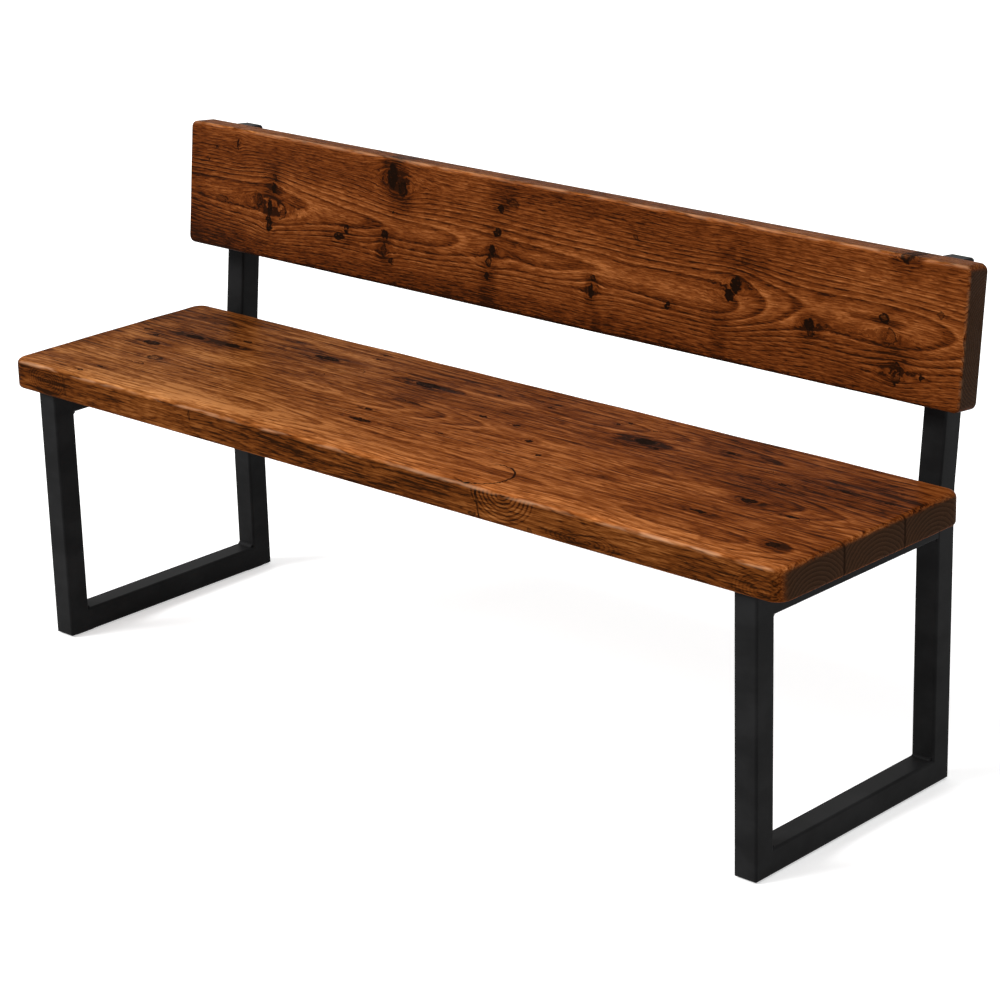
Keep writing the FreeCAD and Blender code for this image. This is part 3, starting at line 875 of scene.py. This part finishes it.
def build_seat():
    """Three seat boards, parted from one slab at the glue lines."""
    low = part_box(SEAT_BOARDS[0])[0]
    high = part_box(SEAT_BOARDS[-1])[1]
    size = high - low
    stand = Matrix.Translation((0, low.y, low.z))
    last = len(SEAT_BOARDS) - 1
    board_width = size.y / len(SEAT_BOARDS)
    for number, node in enumerate(SEAT_BOARDS):
        start = number * board_width
        end = start + board_width
        mesh = slab(*size, SEAT_CORNER, SEAT_EDGE, SEAT_UNDER_EDGE, SEAT_SEED)
        seams = []
        if number > 0:
            part_slab(mesh, start + GLUE_LINE / 2, -1)
            seams.append(start * PER_METRE)
        if number < last:
            part_slab(mesh, end - GLUE_LINE / 2, 1)
            seams.append(end * PER_METRE)
        seed = SEAT_LOOK["seed"] + number * SEED_STEP
        pith = (start + board_width / 2) * PER_METRE
        look = dict(SEAT_LOOK, seed=seed, pith=pith, seams=seams, **sizes_in_mm(*size))
        marks = seat_marks(start * PER_METRE, end * PER_METRE, number == 0)
        wood = Pine(f"stained pine {number}", look, marks)
        add_piece(f"{node}_wood", mesh, stand, wood.material, node)


def build_backrest():
    """The backrest board, leaning back with the posts."""
    recline = math.radians(RECLINE_DEGREES)
    up = Vector((0, math.sin(recline), math.cos(recline)))
    out = Vector((0, -math.cos(recline), math.sin(recline)))
    left, right = span("backrest_board", Vector((1, 0, 0)))
    bottom, top = span("backrest_board", up)
    rear, front = span("backrest_board", out)
    size = (right - left, top - bottom, front - rear)
    mesh = slab(*size, BACK_CORNER, BACK_EDGE, BACK_REAR_EDGE, BACK_SEED)
    corner = up * bottom + out * rear
    place = Matrix((
        (1, up.x, out.x, corner.x),
        (0, up.y, out.y, corner.y),
        (0, up.z, out.z, corner.z),
        (0, 0, 0, 1),
    ))
    marks = {
        "knots": BACKREST_KNOTS, "shades": BACKREST_SHADES,
        "cracks": (), "face_knots": (), "figures": (),
    }
    wood = Pine("stained pine backrest", dict(BACKREST_LOOK, **sizes_in_mm(*size)), marks)
    add_piece("backrest_wood", mesh, place, wood.material, "backrest_board")


def mottled(name, colour, roughness, specular=COAT_SPECULAR, metal=0.0, grain_sizes=PEEL_SIZES):
    """A finish with a fine grain in its surface, and soft patches that are lighter and duller."""
    material, graph, shader = new_material(name)
    place = place_in_mm(graph)
    patch = graph.noise(place, PATCH_SIZES, PATCH_DETAIL)
    lighter = tuple(channel * PATCH_TINT for channel in colour)
    graph.feed(shader.inputs["Base Color"], graph.mix(graph.range(patch, *PATCH_SHARES), colour, lighter))
    graph.feed(shader.inputs["Roughness"], graph.math("MULTIPLY_ADD", patch, PATCH_DULL_SHARE, roughness))
    shader.inputs["Specular IOR Level"].default_value = specular
    shader.inputs["Metallic"].default_value = metal
    grain = graph.noise(place, grain_sizes, GRAIN_DETAIL)
    inputs = {"Height": grain, "Strength": GRAIN_STRENGTH, "Distance": GRAIN_RELIEF}
    bump = graph.add("ShaderNodeBump", inputs)
    graph.feed(shader.inputs["Normal"], bump.outputs["Normal"])
    return material


def powder_coat():
    """Satin black coat of the steel, with a fine orange-peel surface."""
    return mottled("black powder coat", COAT_BLACK, COAT_ROUGHNESS)


def moulded_plastic():
    """Moulded black plastic of the post caps."""
    return mottled("black plastic", PLASTIC_BLACK, PLASTIC_ROUGHNESS)


def matt_rubber():
    """Matt rubber of the feet."""
    return mottled("black rubber", RUBBER_BLACK, RUBBER_ROUGHNESS)


def zinc_plate():
    """Dark zinc plating of the coach screws."""
    return mottled("dark zinc", ZINC_GREY, ZINC_ROUGHNESS, ZINC_SPECULAR, ZINC_METAL)


def plywood():
    """Plain plywood of the tongues, in thin layers."""
    return mottled("tongue plywood", PLY_TAN, PLY_ROUGHNESS, grain_sizes=PLY_SIZES)


def dress_frames():
    """Materials of the steel, caps, feet, screws and tongues, which keep their CAD shapes."""
    finishes = {
        "black_powder_coat": powder_coat(),
        "black_plastic": moulded_plastic(),
        "black_rubber": matt_rubber(),
        "dark_zinc": zinc_plate(),
        "tongue_plywood": plywood(),
    }
    for row in frame["record"]["subparts"]:
        if row["material_slot"] in finishes:
            data = nodes[row["node"]].data
            data.materials.clear()
            data.materials.append(finishes[row["material_slot"]])


def seen_directly(graph):
    """1 where a surface is seen, mirrored or seen through glass, and 0 where it only gives light."""
    rays = graph.add("ShaderNodeLightPath").outputs
    seen = graph.math("MAXIMUM", rays["Is Camera Ray"], rays["Is Glossy Ray"])
    return graph.math("MAXIMUM", seen, rays["Is Transmission Ray"])


def build_floor():
    """Plain white floor that keeps the bench's shadow."""
    material, graph, shader = new_material("white floor")
    graph.feed(shader.inputs["Base Color"], FLOOR_COLOUR)
    shader.inputs["Roughness"].default_value = FLOOR_ROUGHNESS
    shader.inputs["Specular IOR Level"].default_value = 0.0
    glow = graph.times(seen_directly(graph), FLOOR_GLOW)
    glow = graph.add("ShaderNodeEmission", {"Color": WHITE, "Strength": glow})
    both = graph.add("ShaderNodeAddShader")
    output = next(node for node in material.node_tree.nodes if node.type == "OUTPUT_MATERIAL")
    graph.feed(both.inputs[0], shader.outputs[0])
    graph.feed(both.inputs[1], glow.outputs[0])
    graph.feed(output.inputs["Surface"], both.outputs[0])
    mesh = bmesh.new()
    bmesh.ops.create_grid(mesh, x_segments=1, y_segments=1, size=FLOOR_REACH)
    data = bpy.data.meshes.new("floor")
    mesh.to_mesh(data)
    mesh.free()
    data.materials.append(material)
    floor = bpy.data.objects.new("floor", data)
    floor.location.z = cad_low[2]
    scene.collection.objects.link(floor)


def soft_sun(name, direction, strength, spread_degrees):
    """Broad, even lamp that shines from a direction."""
    lamp = bpy.data.lights.new(name, "SUN")
    lamp.energy = strength
    lamp.angle = math.radians(spread_degrees)
    lamp_object = bpy.data.objects.new(name, lamp)
    lamp_object.matrix_world = Vector(direction).to_track_quat("Z", "Y").to_matrix().to_4x4()
    scene.collection.objects.link(lamp_object)


def build_light():
    """White surroundings, which give less light from above, and two soft lamps."""
    world = bpy.data.worlds.new("studio")
    scene.world = world
    world.use_nodes = True
    world.node_tree.nodes.clear()
    graph = Graph(world.node_tree)
    height = graph.split(graph.add("ShaderNodeTexCoord").outputs["Generated"])[2]
    strength = graph.range(height, *HORIZON_SHARES, HORIZON_STRENGTH, ABOVE_STRENGTH)
    strength = graph.math("MAXIMUM", strength, seen_directly(graph))
    background = graph.add("ShaderNodeBackground", {"Color": WHITE, "Strength": strength})
    graph.feed(graph.add("ShaderNodeOutputWorld").inputs["Surface"], background.outputs[0])
    soft_sun("key", KEY_DIRECTION, KEY_STRENGTH, KEY_SPREAD_DEGREES)
    soft_sun("top", TOP_DIRECTION, TOP_STRENGTH, TOP_SPREAD_DEGREES)


def build_camera():
    """Camera at the photograph's place, angle and lens."""
    camera = bpy.data.cameras.new("camera")
    camera.lens = CAMERA_LENS_MM
    camera.sensor_width = CAMERA_SENSOR_MM
    camera_object = bpy.data.objects.new("camera", camera)
    seat_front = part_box(SEAT_BOARDS[0])[0].y
    place = Matrix.Translation((CAMERA_RIGHT, seat_front - CAMERA_AHEAD, CAMERA_HEIGHT))
    turn = Matrix.Rotation(math.radians(CAMERA_TURN_DEGREES), 4, "Z")
    dip = Matrix.Rotation(QUARTER_TURN - math.radians(CAMERA_DIP_DEGREES), 4, "X")
    roll = Matrix.Rotation(math.radians(-CAMERA_ROLL_DEGREES), 4, "Z")
    camera_object.matrix_world = place @ turn @ dip @ roll
    scene.collection.objects.link(camera_object)
    scene.camera = camera_object


dress_frames()
build_seat()
build_backrest()
build_floor()
build_light()
build_camera()
scene.view_settings.view_transform = "Standard"
